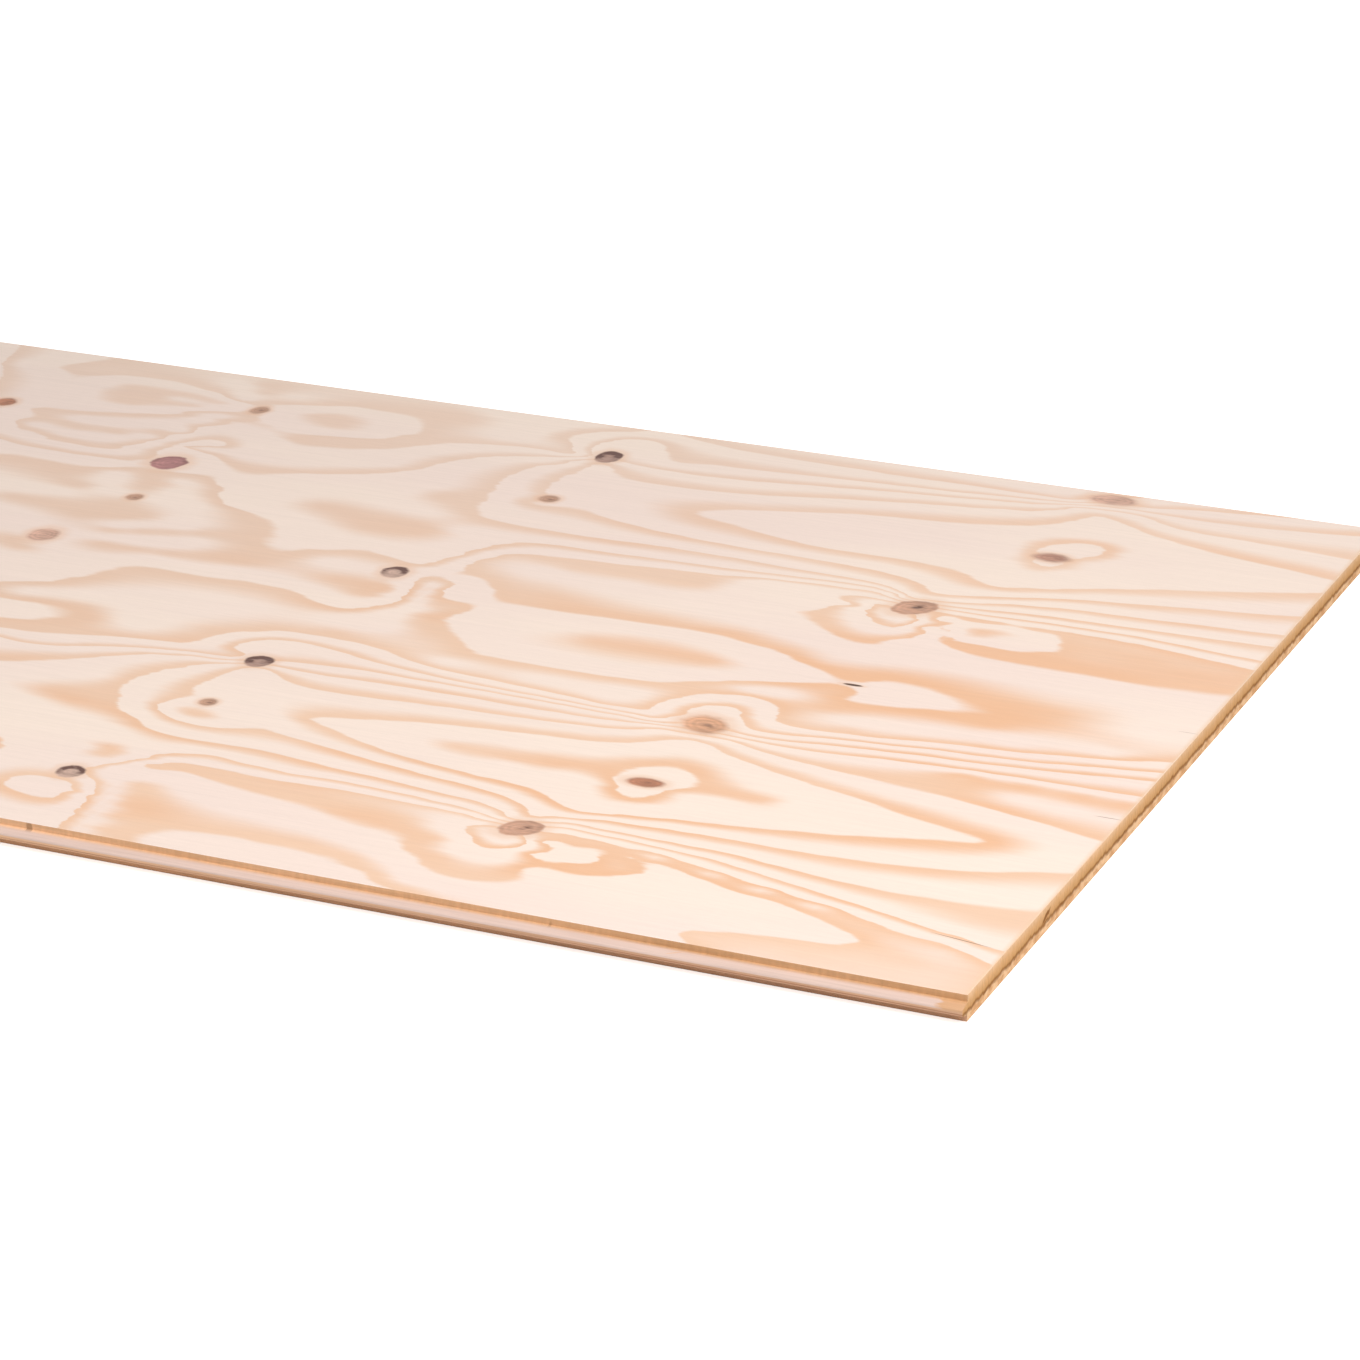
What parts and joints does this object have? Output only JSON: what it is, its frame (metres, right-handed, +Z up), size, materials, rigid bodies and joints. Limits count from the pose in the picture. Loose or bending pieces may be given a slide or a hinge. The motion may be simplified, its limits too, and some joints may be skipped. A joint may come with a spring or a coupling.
{
  "type": "plywood sheet",
  "caption": "Flat rectangular softwood plywood sheet with a tapered tongue along one long edge and a matching groove along the other, for decking floors and roofs.",
  "frame": {"origin": "on the floor, under the middle of the sheet measured over the tongue", "axes": "+X along the sheet's length and face grain, +Y across it from the tongue towards the groove, +Z up out of the face"},
  "size_m": [2.44, 1.22, 0.024],
  "materials": {
    "plywood": "bare rotary-cut softwood veneer with knots, milled and sawn edges that show the plies"
  },
  "bodies": {
    "root": {"plywood_sheet": "plywood"}
  },
  "joints": []
}
